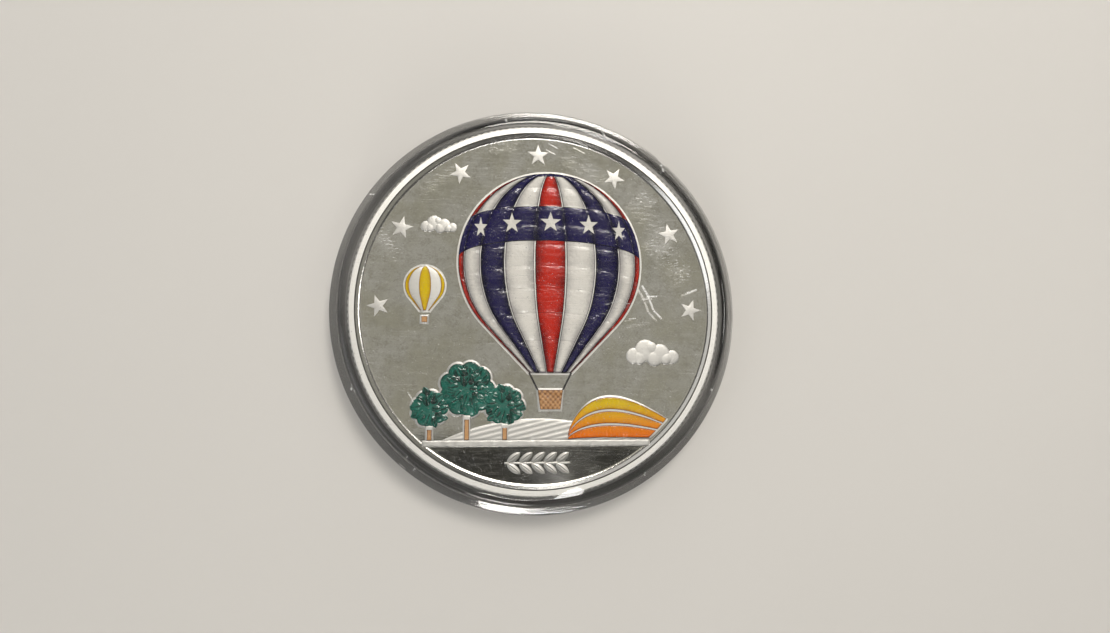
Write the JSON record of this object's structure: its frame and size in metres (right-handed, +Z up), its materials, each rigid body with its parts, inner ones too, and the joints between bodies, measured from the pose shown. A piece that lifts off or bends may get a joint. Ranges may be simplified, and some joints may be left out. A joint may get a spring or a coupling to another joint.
{
  "type": "coin capsule",
  "caption": "Clear round capsule: a flanged tray and a push-on lid that seat a thick reeded silver medal whose struck balloon-and-fields design is filled with coloured enamels.",
  "frame": {"origin": "centre of the tray's underside, where the capsule stands on the table", "axes": "+Z up out of the lid's window, +Y to the top of the medal's design, +X to the design's right"},
  "size_m": [0.0976, 0.0976, 0.0101],
  "materials": {
    "clear_plastic": "clear polished polystyrene",
    "silver": "mirror field, frosted rim and relief",
    "enamel_red": "glossy enamel",
    "enamel_white": "glossy enamel",
    "enamel_navy": "glossy enamel",
    "enamel_green": "glossy enamel",
    "enamel_gold": "glossy enamel",
    "enamel_tan": "glossy enamel",
    "enamel_black": "glossy enamel"
  },
  "bodies": {
    "tray": {"capsule_base": "clear_plastic"},
    "medal": {"medal": "silver", "enamel_red": "enamel_red", "enamel_white": "enamel_white", "enamel_navy": "enamel_navy", "enamel_green": "enamel_green", "enamel_gold": "enamel_gold", "enamel_tan": "enamel_tan", "enamel_black": "enamel_black"},
    "lid": {"capsule_lid": "clear_plastic"}
  },
  "joints": [
    {"name": "medal_lift", "type": "slide", "parent": "tray", "child": "medal", "axis": [0, 0, 1], "range_m": [0, 0.014]},
    {"name": "lid_lift", "type": "slide", "parent": "medal", "child": "lid", "axis": [0, 0, 1], "range_m": [0, 0.02]}
  ]
}
